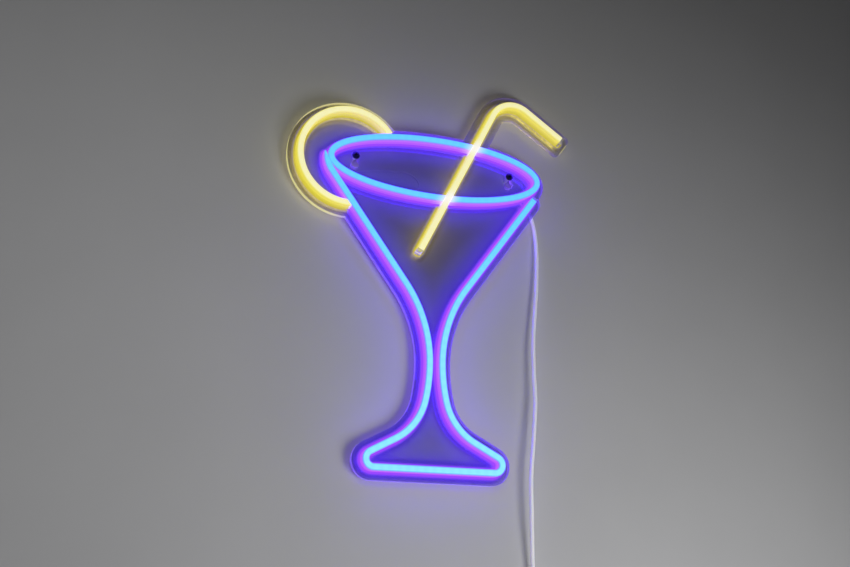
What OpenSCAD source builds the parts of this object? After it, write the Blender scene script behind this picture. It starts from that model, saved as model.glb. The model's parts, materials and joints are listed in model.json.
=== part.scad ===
// Wall sign: a cocktail glass drawn in LED neon flex on a clear panel, on a low-voltage lead.
// +Z is up, the sign faces -Y, and the wall is the plane y = 0.
// The origin is on the wall, midway between the two screws.

/* [Panel] */
// Thickness of the clear panel
panel_t = 5; // [4:0.5:8]
// Gap between the wall and the back of the panel
wall_gap = 5.5; // [5.5:0.5:12]
// Panel left outside the glass, rim and lemon strips
panel_margin = 7.5; // [6:0.5:12]
// Panel left on each side of the straw strip
straw_margin = 9.5; // [6:0.5:12]

/* [Hanging] */
// Distance between the two wall screws
screw_span = 160; // [140:1:170]
// Diameter of the screw in the wall
shank_d = 4; // [3.6:0.2:4.6]
// Diameter of the screw's neck under its head
neck_d = 3.6; // [3:0.2:3.6]
// Diameter of the screw head
head_d = 7.6; // [6:0.2:8.4]
// How far the sign lifts before the heads pass
lift = 8; // [7:0.5:10]

/* [Flex] */
// Width of the flex strip
flex_w = 6.5; // [6:0.5:8]
// Height of the flex strip
flex_h = 12; // [10:0.5:16]
// Depth of the groove that seats the strip
groove_depth = 1.5; // [1:0.5:2]
// Height of the milky front of the strip
diffuser_h = 2.5; // [2:0.5:3]
// Distance between LEDs
led_pitch = 8.3; // [6:0.1:16]

/* [Glass] */
// Half width of the rim
rim_a = 106.5; // [100:0.5:112]
// Half height of the rim
rim_b = 30; // [28:0.5:34]
// Lean of the bowl side from upright
side_angle = 35.7; // [34:0.1:37]
// Half width of the stem at its waist
stem_half = 6.2; // [5.5:0.1:8]
// Radius of the bowl side where it meets the stem
bowl_r = 128; // [120:1:136]
// Half width of the foot
foot_half = 65; // [60:0.5:70]
// Height of the base bar below the origin
base_drop = 299.5; // [296:0.5:304]

/* [Lemon] */
// Radius of the lemon slice
lemon_r = 48.3; // [46:0.1:50]

/* [Straw] */
// Lean of the straw from upright
straw_lean = 26.4; // [25:0.1:28]
// Length of the straight part of the straw
straw_leg = 172; // [165:1:176]
// Radius of the bend
straw_bend_r = 24.5; // [20:0.5:28]
// Slope of the arm below level
arm_drop = 34.5; // [30:0.5:38]
// Length of the arm
arm_len = 46.5; // [40:0.5:50]

/* [Lead] */
// Diameter of the lead
lead_d = 3.8; // [3.4:0.1:4]
// Mean radius of the coil of spare lead
coil_r = 21; // [20:0.5:23]

/* [Hidden] */
$fn = 48;

eps = 0.5;

// Depths, from the wall towards the viewer
panel_back = -wall_gap;
panel_front = panel_back - panel_t;
seat = panel_front + groove_depth;
sleeve_h = flex_h - diffuser_h;
channel_floor = 1;
channel_h = 2.4;
channel_w = 4.4;
tape_w = 4;
tape_t = 0.3;
tape_back = seat - channel_floor;
groove_gap = 0.1;
cut_gap = 0.3;

// Centrelines in the plane of the sign, as [x, z]
rim_z = -6.2;
stem_z = -201;
foot_upper_r = 160;
foot_upper_turn = 13;
foot_lower_r = 55;
foot_turn = 62;
bowl_top_z = -22;
hook_r = 26;
glass_end_z = -25.5;
lemon_c = [-88, -4.8];
straw_foot = [-16, -91.5];
rim_cut_top = 68;
rim_cut_bottom = -83.7;
step_a = 3.5;

function flip(p) = [-p[0], p[1]];
function backwards(list) = [for (i = [len(list) - 1:-1:0]) list[i]];
function arc(c, r, a0, a1) =
    let (n = max(2, ceil(abs(a1 - a0) / step_a)))
    [for (i = [0:n]) let (a = a0 + (a1 - a0) * i / n) c + r * [cos(a), sin(a)]];
function rim_point(t) = [rim_a * cos(t), rim_z + rim_b * sin(t)];
function rim_arc(t0, t1) = [for (i = [0:ceil((t1 - t0) / step_a)])
    rim_point(t0 + (t1 - t0) * i / ceil((t1 - t0) / step_a))];

// Right half of the glass, from the middle of the base bar up to the bowl side
foot_upper_c = [stem_half + foot_upper_r, stem_z];
foot_lower_c = foot_upper_c + (foot_upper_r - foot_lower_r)
    * [cos(180 + foot_upper_turn), sin(180 + foot_upper_turn)];
foot_slope_top = foot_lower_c + foot_lower_r * [cos(180 + foot_turn), sin(180 + foot_turn)];
corner_r = (-(foot_half - foot_slope_top[0]) * cos(foot_turn)
    + (base_drop + foot_slope_top[1]) * sin(foot_turn)) / (1 - cos(foot_turn) + sin(foot_turn));
corner_c = [foot_half - corner_r, corner_r - base_drop];
bowl_c = [stem_half + bowl_r, stem_z];
side_dir = [sin(side_angle), cos(side_angle)];
side_start = bowl_c + bowl_r * [cos(180 - side_angle), sin(180 - side_angle)];
function on_side(z) = side_start + side_dir * (z - side_start[1]) / side_dir[1];
half_glass = concat(
    arc(corner_c, corner_r, -90, foot_turn),
    arc(foot_lower_c, foot_lower_r, 180 + foot_turn, 180 + foot_upper_turn),
    arc(foot_upper_c, foot_upper_r, 180 + foot_upper_turn - 2, 180),
    arc(bowl_c, bowl_r, 178, 180 - side_angle));
hook_c = on_side(bowl_top_z) + hook_r * [-cos(-side_angle), -sin(-side_angle)];
left_top = [for (p = concat(arc(hook_c, hook_r, -side_angle, 0), [hook_c + [hook_r, 3]])) flip(p)];
glass_path = concat(backwards(left_top), [for (p = backwards(half_glass)) flip(p)],
    half_glass, [on_side(glass_end_z)]);

straw_dir = [sin(straw_lean), cos(straw_lean)];
bend_start = straw_foot + straw_leg * straw_dir;
bend_c = bend_start + straw_bend_r * [cos(straw_lean), -sin(straw_lean)];
arm_dir = [cos(arm_drop), -sin(arm_drop)];
bend_end = bend_c + straw_bend_r * [cos(90 - arm_drop), sin(90 - arm_drop)];
arm_end = bend_end + arm_len * arm_dir;
straw_path = concat([straw_foot], arc(bend_c, straw_bend_r, 180 - straw_lean, 90 - arm_drop),
    [arm_end]);
lemon_path = arc(lemon_c, lemon_r, 36, 276);
rim_left_path = rim_arc(rim_cut_top, 360 + rim_cut_bottom);
rim_right_path = rim_arc(rim_cut_bottom, rim_cut_top);

// Path tools
function unit(v) = v / norm(v);
function extend(p, a, b) = let (n = len(p) - 1) concat(
    [p[0] - a * unit(p[1] - p[0])], [for (i = [1:n - 1]) p[i]], [p[n] + b * unit(p[n] - p[n - 1])]);
function left_of(v) = [-v[1], v[0]];
function heading(p, i) = unit(p[min(i + 1, len(p) - 1)] - p[max(i - 1, 0)]);
function side(p, d) = [for (i = [0:len(p) - 1]) p[i] + d * left_of(heading(p, i))];
function travelled(p, i = 1, sums = [0]) = i == len(p) ? sums
    : travelled(p, i + 1, concat(sums, [sums[i - 1] + norm(p[i] - p[i - 1])]));
function stretch(sums, s) = max([for (i = [0:len(sums) - 2]) if (sums[i] <= s) i]);

module stroke(p, w) {
    polygon(concat(side(p, w / 2), backwards(side(p, -w / 2))));
}

// A slab of a flat shape, from depth y towards the viewer
module slab(y, t) {
    translate([0, y, 0]) rotate([90, 0, 0]) linear_extrude(t) children();
}

// The strips seen from the front, at width w
module straw_shape(w, ends = 0) {
    stroke(extend(straw_path, ends, ends), w);
}
module rim_disc(grow) {
    polygon([for (i = [0:102]) let (t = i * 360 / 103, n = unit([cos(t) / rim_a, sin(t) / rim_b]))
        rim_point(t) + grow * n]);
}
module rim_left_shape(w, ends = 0) {
    difference() {
        stroke(rim_left_path, w);
        straw_shape(flex_w + 2 * cut_gap - 2 * ends, 10);
    }
}
module rim_right_shape(w, ends = 0) {
    difference() {
        stroke(rim_right_path, w);
        straw_shape(flex_w + 2 * cut_gap - 2 * ends, 10);
    }
}
module glass_shape(w, ends = 0) {
    difference() {
        stroke(extend(glass_path, 0, ends), w);
        rim_disc(flex_w / 2 + cut_gap);
    }
}
module lemon_shape(w, ends = 0) {
    difference() {
        stroke(lemon_path, w);
        rim_disc(flex_w / 2 + cut_gap - ends);
        stroke(glass_path, flex_w + 2 * cut_gap - 2 * ends);
    }
}
// The panel's band round the straw, with rounded corners beyond the end of the arm
band_r = 5;
band_reach = 9;
module straw_band() {
    w = flex_w / 2 + straw_margin;
    p = extend(straw_path, -60, band_reach - band_r - 0.1);
    tip = arm_end + (band_reach - band_r) * arm_dir;
    n = left_of(arm_dir);
    polygon(concat(side(p, w), arc(tip + (w - band_r) * n, band_r, 90 - arm_drop, -arm_drop),
        arc(tip - (w - band_r) * n, band_r, -arm_drop, -90 - arm_drop), backwards(side(p, -w))));
}
module panel_blank() {
    m = flex_w / 2 + panel_margin;
    union() {
        slab(panel_back, panel_t) polygon(side(glass_path, -m));
        slab(panel_back, panel_t) rim_disc(m);
        slab(panel_back, panel_t) translate(on_side(glass_end_z)) circle(m);
        slab(panel_back, panel_t) translate(lemon_c) circle(lemon_r + m, $fn = 120);
        slab(panel_back, panel_t) straw_band();
    }
}

// Places where the wires pass through the panel
glass_feed = on_side(-38);
rim_feed = rim_point(6);
straw_feed = straw_foot + 139 * straw_dir;
straw_tap = straw_foot + 52 * straw_dir;
lemon_tap = lemon_c + lemon_r * [cos(262), sin(262)];
rim_taps = [for (t = [75.5, 60.5, -77.5, -90]) rim_point(t)];
wire_holes = concat([glass_feed, rim_feed, straw_feed, straw_tap, lemon_tap], rim_taps);
wire_hole_d = 2.2;
wire_d = 1.3;
wire_y = panel_back + 1.6;

// Keyholes: the neck stops at the top of the slot, and the head passes the round hole below it
slot_d = neck_d + 1;
head_hole_d = head_d + 1;
stop_gap = 0.1;
slot_top = stop_gap + neck_d / 2 - slot_d / 2;
module keyhole() {
    translate([0, slot_top]) circle(d = slot_d);
    translate([-slot_d / 2, -lift]) square([slot_d, lift + slot_top]);
    translate([0, -lift]) circle(d = head_hole_d);
}

// Wall screws: pan heads with a cross recess
head_t = 2.6;
head_play = 0.2;
screw_in_wall = 25;
neck_gap = 0.5;
module wall_screws() {
    head_y = panel_front - head_play;
    dome_r = 5.5;
    color("black") for (s = [-1, 1]) translate([s * screw_span / 2, 0, 0]) difference() {
        union() {
            slab(screw_in_wall, screw_in_wall - panel_back - neck_gap) circle(d = shank_d);
            slab(0, eps - head_y) circle(d = neck_d);
            intersection() {
                slab(head_y, head_t) circle(d = head_d);
                translate([0, head_y - head_t + dome_r, 0]) sphere(dome_r);
            }
        }
        for (a = [0, 90]) translate([0, head_y - head_t, 0]) rotate([0, a, 0])
            cube([3.8, 2.4, 0.9], center = true);
    }
}

module groove_shape() {
    w = flex_w + 2 * groove_gap;
    union() {
        difference() {
            rim_disc(w / 2);
            rim_disc(-w / 2);
        }
        stroke(extend(glass_path, 0, cap_l), w);
        stroke(lemon_path, w);
        stroke(extend(straw_path, cap_l, cap_l), w);
    }
}
module acrylic_panel() {
    color([0.8, 0.85, 0.95, 0.4]) difference() {
        panel_blank();
        slab(panel_back + eps, panel_t + 2 * eps) {
            for (s = [-1, 1]) translate([s * screw_span / 2, 0]) keyhole();
            for (p = wire_holes) translate(p) circle(d = wire_hole_d);
        }
        slab(seat, groove_depth + eps) groove_shape();
    }
}

// One sleeve from its outline and the outline of its channel
module sleeve(tint) {
    color(tint) difference() {
        slab(seat, sleeve_h) children(0);
        slab(tape_back, channel_h) children(1);
    }
}
blue_side = [0.62, 0.42, 0.95];
yellow_side = [0.95, 0.9, 0.4];
blue_front = [0.55, 0.93, 1];
yellow_front = [1, 0.97, 0.75];
module rim_left_sleeve() sleeve(blue_side) { rim_left_shape(flex_w); rim_left_shape(channel_w, eps); }
module rim_right_sleeve() sleeve(blue_side) { rim_right_shape(flex_w); rim_right_shape(channel_w, eps); }
module glass_sleeve() sleeve(blue_side) { glass_shape(flex_w); glass_shape(channel_w, eps); }
module lemon_sleeve() sleeve(yellow_side) { lemon_shape(flex_w); lemon_shape(channel_w, eps); }
module straw_sleeve() sleeve(yellow_side) { straw_shape(flex_w); straw_shape(channel_w, eps); }

module front(tint) color(tint) slab(seat - sleeve_h, diffuser_h) children();
module rim_left_diffuser() front(blue_front) rim_left_shape(flex_w);
module rim_right_diffuser() front(blue_front) rim_right_shape(flex_w);
module glass_diffuser() front(blue_front) glass_shape(flex_w);
module lemon_diffuser() front(yellow_front) lemon_shape(flex_w);
module straw_diffuser() front(yellow_front) straw_shape(flex_w);

// LED tapes lie on the floor of each channel, and stop short of its ends
tape_short = 1;
module tape() color("white") slab(tape_back, tape_t) children();
module rim_left_tape() tape() rim_left_shape(tape_w, -tape_short);
module rim_right_tape() tape() rim_right_shape(tape_w, -tape_short);
module glass_tape() tape() intersection() {
    stroke(extend(glass_path, 0, -tape_short), tape_w);
    glass_shape(tape_w);
}
module lemon_tape() tape() lemon_shape(tape_w, -tape_short);
module straw_tape() tape() stroke(extend(straw_path, -tape_short, -tape_short), tape_w);

// LEDs at an even pitch along a path, with a resistor after every third
led_size = [3.2, 0.8, 2.6];
resistor_size = [1.6, 0.5, 0.8];
module on_path(p, sums, s) {
    i = stretch(sums, s);
    d = p[i + 1] - p[i];
    q = p[i] + d * (s - sums[i]) / norm(d);
    translate([q[0], 0, q[1]]) rotate([0, -atan2(d[1], d[0]), 0]) children();
}
module leds(p, tint) {
    sums = travelled(p);
    total = sums[len(sums) - 1];
    n = floor(total / led_pitch);
    pitch = total / n;
    for (i = [0:n - 1]) {
        color(tint) on_path(p, sums, (i + 0.5) * pitch)
            translate([0, tape_back - tape_t - led_size[1] / 2, 0]) cube(led_size, center = true);
        if (i % 3 == 2 && i < n - 1) color("black") on_path(p, sums, (i + 1) * pitch)
            translate([0, tape_back - tape_t - resistor_size[1] / 2, 0])
            cube(resistor_size, center = true);
    }
}
led_tint = [1, 0.9, 0.5];
module rim_left_leds() leds(rim_arc(rim_cut_top + 5, 355 + rim_cut_bottom), led_tint);
module rim_right_leds() leds(rim_arc(rim_cut_bottom + 5, rim_cut_top - 5), led_tint);
module glass_leds() leds(concat([flip(on_side(bowl_top_z - 8))],
    [for (p = backwards(half_glass)) flip(p)], half_glass, [on_side(glass_end_z - 3)]), led_tint);
module lemon_leds() leds(arc(lemon_c, lemon_r, 50, 262), led_tint);
module straw_leds() leds(extend(straw_path, -3, -3), led_tint);

// Clear caps glued on the strips' free ends: both ends of the straw and the glass's right end
cap_l = 3;
module cap(p, d) {
    n = left_of(d);
    w = flex_w / 2;
    r = 1.3;
    slab(seat, flex_h) {
        polygon([p - w * n, p + w * n, p + w * n + (cap_l - r) * d, p - w * n + (cap_l - r) * d]);
        polygon([p - (w - r) * n, p + (w - r) * n, p + (w - r) * n + cap_l * d,
            p - (w - r) * n + cap_l * d]);
        for (s = [-1, 1]) translate(p + s * (w - r) * n + (cap_l - r) * d) circle(r);
    }
}
module end_caps() {
    color([0.9, 0.9, 0.95, 0.5]) {
        cap(straw_foot, -straw_dir);
        cap(arm_end, arm_dir);
        cap(on_side(glass_end_z), side_dir);
    }
}

// Round tubes swept along a smooth route
function blend(a, b, c, d, t) = 0.5 * (2 * b + (c - a) * t
    + (2 * a - 5 * b + 4 * c - d) * t * t + (3 * b - a - 3 * c + d) * t * t * t);
function smooth(p, per) = let (n = len(p) - 1) concat([for (i = [0:n - 1], j = [0:per - 1])
    blend(p[max(i - 1, 0)], p[i], p[i + 1], p[min(i + 2, n)], j / per)], [p[n]]);
function side_vectors(t, u, i = 1) = i == len(t) ? u
    : side_vectors(t, concat(u, [unit(u[i - 1] - (u[i - 1] * t[i]) * t[i])]), i + 1);
module tube(p, d, sides = 8) {
    n = len(p);
    t = [for (i = [0:n - 1]) heading(p, i)];
    u = side_vectors(t, [unit(cross(t[0], [0.1, 1, 0.3]))]);
    polyhedron(
        points = [for (i = [0:n - 1], k = [0:sides - 1]) let (a = 360 * k / sides)
            p[i] + d / 2 * (cos(a) * u[i] + sin(a) * cross(t[i], u[i]))],
        faces = concat([[for (k = [0:sides - 1]) k]],
            [for (i = [0:n - 2], k = [0:sides - 1]) let (m = (k + 1) % sides)
                [i * sides + m, i * sides + k, (i + 1) * sides + k, (i + 1) * sides + m]],
            [[for (k = [sides - 1:-1:0]) (n - 1) * sides + k]]));
}
function at_depth(p, y) = [p[0], y, p[1]];
// A wire's end: from the groove floor back through the panel to the wire run behind it
function drop_in(p) = [at_depth(p, seat + 0.15), at_depth(p, panel_back + 0.2)];

splice_x = 101;
splice_top = -3;
splice_l = 16;
splice_y = panel_back + 2.4;
module feed_wires() {
    color("gainsboro") {
        tube(smooth(concat([[splice_x - 1, splice_y, splice_top], [splice_x - 3, wire_y, splice_top + 3],
            [96, wire_y, -6], [94.5, wire_y, -22], [glass_feed[0] - 0.6, wire_y, glass_feed[1] + 4]],
            backwards(drop_in(glass_feed))), 3), wire_d, 6);
        tube(smooth(concat([[splice_x + 1.2, splice_y, splice_top], [103.2, wire_y, 0],
            [rim_feed[0] - 0.6, wire_y, rim_feed[1] + 1.5]], backwards(drop_in(rim_feed))), 3), wire_d, 6);
        tube(smooth(concat([[splice_x, splice_y - 0.6, splice_top], [100, wire_y, 2]],
            [for (a = [28:9:64]) at_depth(rim_point(a) + [0, 3.5], wire_y)],
            backwards(drop_in(straw_feed))), 3), wire_d, 6);
    }
}
module rim_jumpers() {
    color("gainsboro") for (k = [0, 2]) {
        a = rim_taps[k];
        b = rim_taps[k + 1];
        tube(smooth(concat(drop_in(a), [for (t = [0.25, 0.75]) at_depth(a + t * (b - a), wire_y)],
            backwards(drop_in(b))), 3), wire_d, 6);
    }
}
lemon_wire = [[-86, -40], [-82, -24], [-73.6, -13], [-52, -9.3], [-31.5, -7.8], [-20, -10.6],
    [-13.5, -18], [-15, -27], [-12, -38]];
module lemon_jumper() {
    color("gainsboro") tube(smooth(concat(drop_in(lemon_tap), [for (p = lemon_wire) at_depth(p, wire_y)],
        backwards(drop_in(straw_tap))), 3), wire_d, 6);
}

// Heat-shrink over the splice, and the clear clip that takes the pull off it
module splice_sleeve() {
    color("white") translate([splice_x, splice_y, splice_top - splice_l]) difference() {
        cylinder(d = 4.6, h = splice_l);
        translate([0, 0, -eps]) cylinder(d = lead_d, h = splice_l / 2 + eps);
    }
}
clip_z = -30;
module lead_clip() {
    color([0.9, 0.9, 0.95, 0.5]) difference() {
        translate([102.8, panel_back + 2.2, clip_z]) cube([9, 4.4, 6], center = true);
        translate([102.8, splice_y, clip_z - 4]) cylinder(d = lead_d, h = 8);
    }
}

// The lead: down from the splice to the switch, then to the coil, then to the plug
switch_x = 98.5;
switch_y = -7.5;
switch_z = -425;
switch_l = 46;
switch_w = 18;
switch_t = 13;
grommet_l = 10;
coil_x = switch_x - coil_r - lead_d;
coil_z = -480;
coil_y = -7.5;
coil_side = 3 * lead_d;
plug_x = coil_x + coil_r - lead_d;
plug_y = -11;
plug_z = -516;
cord_drop_route = [[101, -3.1, -11], [101, -3.1, -19], [102.8, -3.1, -30], [107.4, -3.2, -42],
    [109.9, -3.6, -55], [111, -4.4, -73], [110.3, -5.4, -94], [108.4, -6.7, -121], [103.7, -8.8, -166],
    [102.9, -10.2, -201], [103.1, -11.3, -230], [99.6, -12.6, -269], [96.5, -13.2, -299], [96.5, -12.5, -334],
    [97.5, -9.6, -366], [98.3, -7.9, -382], [98.5, -7.5, -392], [98.5, -7.5, -408]];
cord_link_route = [[98.5, -7.5, -442], [98.5, -7.5, -456], [98.5, -6, -466], [98.5, -4.2, -474],
    [98.5, -3.7, -480]];
cord_tail_route = [[90.9, -12.6, -474], [90.9, -15.1, -482], [90.9, -15.3, -492], [90.9, -14.2, -502],
    [90.9, -11.6, -511], [90.9, -11, -518], [90.9, -11, -524]];
module cord_drop() color("white") tube(smooth(cord_drop_route, 3), lead_d);
module cord_link() color("white") tube(smooth(cord_link_route, 2), lead_d);
module cord_tail() color("white") tube(smooth(cord_tail_route, 2), lead_d);

module cord_coil() {
    color("white") translate([coil_x, coil_y, coil_z]) rotate([90, 0, 0]) rotate_extrude($fn = 64)
        translate([coil_r, 0]) square(coil_side, center = true);
}
tie_t = 1;
tie_gap = 0.3;
tie_angle = 26;
module coil_tie() {
    inner = coil_side + 2 * tie_gap;
    color("dimgray") translate([coil_x, coil_y, coil_z]) rotate([90, 0, 0])
        rotate([0, 0, 90 - tie_angle / 2]) rotate_extrude(angle = tie_angle, $fn = 64)
        translate([coil_r, 0]) difference() {
            square(inner + 2 * tie_t, center = true);
            square(inner, center = true);
        }
}

// In-line rocker switch, in two screwed shells
shell_t = 1.6;
switch_r = 6;
switch_rear = switch_y + switch_t / 2;
switch_face = switch_y - switch_t / 2;
boss_d = 4.6;
boss_at = [5, 16.5];
screw_d = 2;
pivot_y = -10.5;
pin_d = 2.4;
ear_t = 1.5;
rocker_w = 9.4;
window_w = 10;
window_l = 16.6;
rocker_tilt = 12;
module round_rect(w, h, r) {
    square([w - 2 * r, h], center = true);
    square([w, h - 2 * r], center = true);
    for (i = [-1, 1], j = [-1, 1]) translate([i * (w / 2 - r), j * (h / 2 - r)]) circle(r);
}
module switch_slab(y, t) {
    translate([switch_x, 0, switch_z]) slab(y, t) children();
}
module switch_bosses(d) {
    for (s = [-1, 1]) translate([s * boss_at[0], s * boss_at[1]]) circle(d = d);
}
module lead_ways() {
    translate([switch_x, switch_y, switch_z - switch_l / 2 - eps])
        cylinder(d = lead_d, h = switch_l + 2 * eps);
}
module switch_cavity() {
    round_rect(switch_w - 2 * shell_t, switch_l - 2 * shell_t, switch_r - shell_t);
}
module switch_rear_shell() {
    color("white") difference() {
        union() {
            difference() {
                switch_slab(switch_rear, switch_t / 2) round_rect(switch_w, switch_l, switch_r);
                switch_slab(switch_rear - shell_t, switch_t / 2) switch_cavity();
                lead_ways();
            }
            switch_slab(switch_rear - eps, switch_t / 2 - eps) switch_bosses(boss_d);
        }
        switch_slab(switch_rear + eps, switch_t) switch_bosses(screw_d + 0.2);
        switch_slab(switch_rear + eps, 1.4 + eps) switch_bosses(3.8);
    }
}
module switch_front_shell() {
    color("white") difference() {
        union() {
            difference() {
                switch_slab(switch_y, switch_t / 2) round_rect(switch_w, switch_l, switch_r);
                switch_slab(switch_y + eps, switch_t / 2 - shell_t + eps) switch_cavity();
                switch_slab(switch_y, switch_t) square([window_w, window_l], center = true);
                lead_ways();
            }
            switch_slab(switch_y, switch_t / 2 - eps) switch_bosses(boss_d);
            for (s = [-1, 1]) translate([switch_x + s * (rocker_w / 2 + 0.5 + ear_t / 2),
                (switch_face + shell_t / 2 + pivot_y + 2.2) / 2, switch_z])
                cube([ear_t, pivot_y + 2.2 - switch_face - shell_t / 2, 5], center = true);
        }
        switch_slab(switch_y + eps, 4 + eps) switch_bosses(screw_d);
        translate([switch_x - switch_w / 2 + shell_t, pivot_y, switch_z]) rotate([0, 90, 0])
            cylinder(d = pin_d + 0.1, h = switch_w - 2 * shell_t);
    }
}
module switch_screws() {
    color("silver") {
        switch_slab(switch_rear - 0.2, 1.2) switch_bosses(3.6);
        switch_slab(switch_rear - 0.4, 9) switch_bosses(screw_d);
    }
}
module grommet() {
    rotate_extrude() polygon([[lead_d / 2, 0], [3.4, 0], [2.5, grommet_l], [lead_d / 2, grommet_l]]);
}
module switch_grommets() {
    color("white") {
        translate([switch_x, switch_y, switch_z + switch_l / 2]) grommet();
        translate([switch_x, switch_y, switch_z - switch_l / 2]) mirror([0, 0, 1]) grommet();
    }
}
module switch_contacts() {
    color("gold") for (s = [-1, 1]) {
        translate([switch_x, -5.6, switch_z + s * 7]) cube([4, 0.5, 5], center = true);
        translate([switch_x, -4.1, switch_z + s * 9.2]) cube([4, 2.9, 0.5], center = true);
    }
}
// The rocker rests pressed in at its upper end, which is on
module rocker() {
    color("white") translate([switch_x, pivot_y, switch_z]) rotate([-rocker_tilt, 0, 0]) {
        difference() {
            translate([-rocker_w / 2, 0, 0]) rotate([90, 0, 90]) linear_extrude(rocker_w)
                polygon([[-5.5, -7], [-4.1, 0], [-5.5, 7], [-1.5, 7.6], [0.9, 7.6], [2.2, 5],
                    [2.2, -5], [0.9, -7.6], [-1.5, -7.6]]);
            translate([-rocker_w / 2 - eps, 0, 0]) rotate([0, 90, 0])
                cylinder(d = pin_d, h = rocker_w + 2 * eps);
        }
        translate([-rocker_w / 2 - ear_t - 0.4, 0, 0]) rotate([0, 90, 0])
            cylinder(d = pin_d, h = rocker_w + 2 * ear_t + 0.8);
    }
}
module rocker_bridge() {
    color("gold") translate([switch_x, pivot_y, switch_z]) rotate([-rocker_tilt, 0, 0])
        translate([0, 2.4, 0]) cube([3.6, 0.4, 13], center = true);
}

// Low-voltage plug: a moulded grip with its relief, a folded metal shell, and its tongue
grip_w = 16;
grip_t = 8.4;
grip_l = 26;
relief_l = 12;
shell_w = 12;
shell_h = 4.5;
shell_l = 12;
sheet_t = 0.3;
module plug_grip() {
    color("white") difference() {
        union() {
            translate([plug_x, plug_y, plug_z - relief_l - grip_l]) linear_extrude(grip_l)
                round_rect(grip_w, grip_t, 2.5);
            translate([plug_x, plug_y, plug_z - relief_l - eps])
                cylinder(r1 = 3.6, r2 = 2.6, h = relief_l + eps);
        }
        translate([plug_x, plug_y, plug_z - relief_l - 2]) cylinder(d = lead_d, h = relief_l + 3);
    }
}
module plug_shell() {
    color("silver") translate([plug_x, plug_y, plug_z - relief_l - grip_l - shell_l]) difference() {
        linear_extrude(shell_l) difference() {
            square([shell_w, shell_h], center = true);
            square([shell_w - 2 * sheet_t, shell_h - 2 * sheet_t], center = true);
        }
        for (s = [-1, 1]) translate([s * 2.6, 0, 6]) cube([2, shell_h + 1, 2.4], center = true);
    }
}
tongue_t = 1.8;
module plug_tongue() {
    color("white") translate([plug_x, plug_y + shell_h / 2 - sheet_t - tongue_t / 2,
        plug_z - relief_l - grip_l - 5.6]) cube([shell_w - 2 * sheet_t, tongue_t, 11.2], center = true);
}
module plug_contacts() {
    color("gold") for (i = [-1.5:1:1.5]) translate([plug_x + i * 2.3,
        plug_y + shell_h / 2 - sheet_t - tongue_t - 0.1, plug_z - relief_l - grip_l - 5])
        cube([1.2, 0.2, 9], center = true);
}

wall_screws();
acrylic_panel();
rim_left_sleeve();
rim_right_sleeve();
glass_sleeve();
lemon_sleeve();
straw_sleeve();
rim_left_diffuser();
rim_right_diffuser();
glass_diffuser();
lemon_diffuser();
straw_diffuser();
rim_left_tape();
rim_right_tape();
glass_tape();
lemon_tape();
straw_tape();
rim_left_leds();
rim_right_leds();
glass_leds();
lemon_leds();
straw_leds();
end_caps();
feed_wires();
rim_jumpers();
lemon_jumper();
splice_sleeve();
lead_clip();
cord_drop();
switch_rear_shell();
switch_front_shell();
switch_screws();
switch_grommets();
switch_contacts();
rocker();
rocker_bridge();
cord_link();
cord_coil();
coil_tie();
cord_tail();
plug_grip();
plug_shell();
plug_tongue();
plug_contacts();
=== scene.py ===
import json
import math

import bmesh
import bpy
import numpy as np
from mathutils import Matrix, Vector

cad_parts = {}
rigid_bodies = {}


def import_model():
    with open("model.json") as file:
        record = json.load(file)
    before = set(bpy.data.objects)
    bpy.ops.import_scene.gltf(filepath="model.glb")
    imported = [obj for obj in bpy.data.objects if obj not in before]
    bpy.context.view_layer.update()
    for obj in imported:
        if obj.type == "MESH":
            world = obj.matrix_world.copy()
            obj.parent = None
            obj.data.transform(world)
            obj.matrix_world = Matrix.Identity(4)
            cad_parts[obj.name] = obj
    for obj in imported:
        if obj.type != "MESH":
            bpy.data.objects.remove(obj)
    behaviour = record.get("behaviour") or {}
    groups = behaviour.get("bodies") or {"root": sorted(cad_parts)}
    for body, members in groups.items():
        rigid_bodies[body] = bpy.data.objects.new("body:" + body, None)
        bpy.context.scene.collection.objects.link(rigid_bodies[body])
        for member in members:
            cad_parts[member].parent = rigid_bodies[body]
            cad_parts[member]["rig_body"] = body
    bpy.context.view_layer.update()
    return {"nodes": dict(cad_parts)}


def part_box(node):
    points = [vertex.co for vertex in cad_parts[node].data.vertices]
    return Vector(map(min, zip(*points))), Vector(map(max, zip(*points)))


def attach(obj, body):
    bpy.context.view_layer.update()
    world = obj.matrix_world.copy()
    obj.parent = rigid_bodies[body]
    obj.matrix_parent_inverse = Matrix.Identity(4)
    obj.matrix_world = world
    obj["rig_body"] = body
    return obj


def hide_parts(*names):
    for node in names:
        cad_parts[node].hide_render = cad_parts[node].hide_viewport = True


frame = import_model()


# Camera: stands to the left of the sign and below it, and looks up and to the right.
# A very slight tilt takes up how the sign hangs.
camera_yaw, camera_pitch, camera_tilt = (math.radians(a) for a in (18.27, 17.38, 0.5))
ahead = Vector((math.sin(camera_yaw) * math.cos(camera_pitch),
                math.cos(camera_yaw) * math.cos(camera_pitch), math.sin(camera_pitch)))
level = Vector((math.cos(camera_yaw), -math.sin(camera_yaw), 0))
upward = level.cross(ahead)
across_view = level * math.cos(camera_tilt) + upward * math.sin(camera_tilt)
up_view = upward * math.cos(camera_tilt) - level * math.sin(camera_tilt)
camera = bpy.data.objects.new("camera", bpy.data.cameras.new("camera"))
camera.data.lens = 45.66
camera.matrix_world = Matrix.Translation((-0.3159, -0.9416, -0.4290)) @ Matrix(
    (across_view, up_view, -ahead)).transposed().to_4x4()
bpy.context.scene.collection.objects.link(camera)
bpy.context.scene.camera = camera


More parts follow.
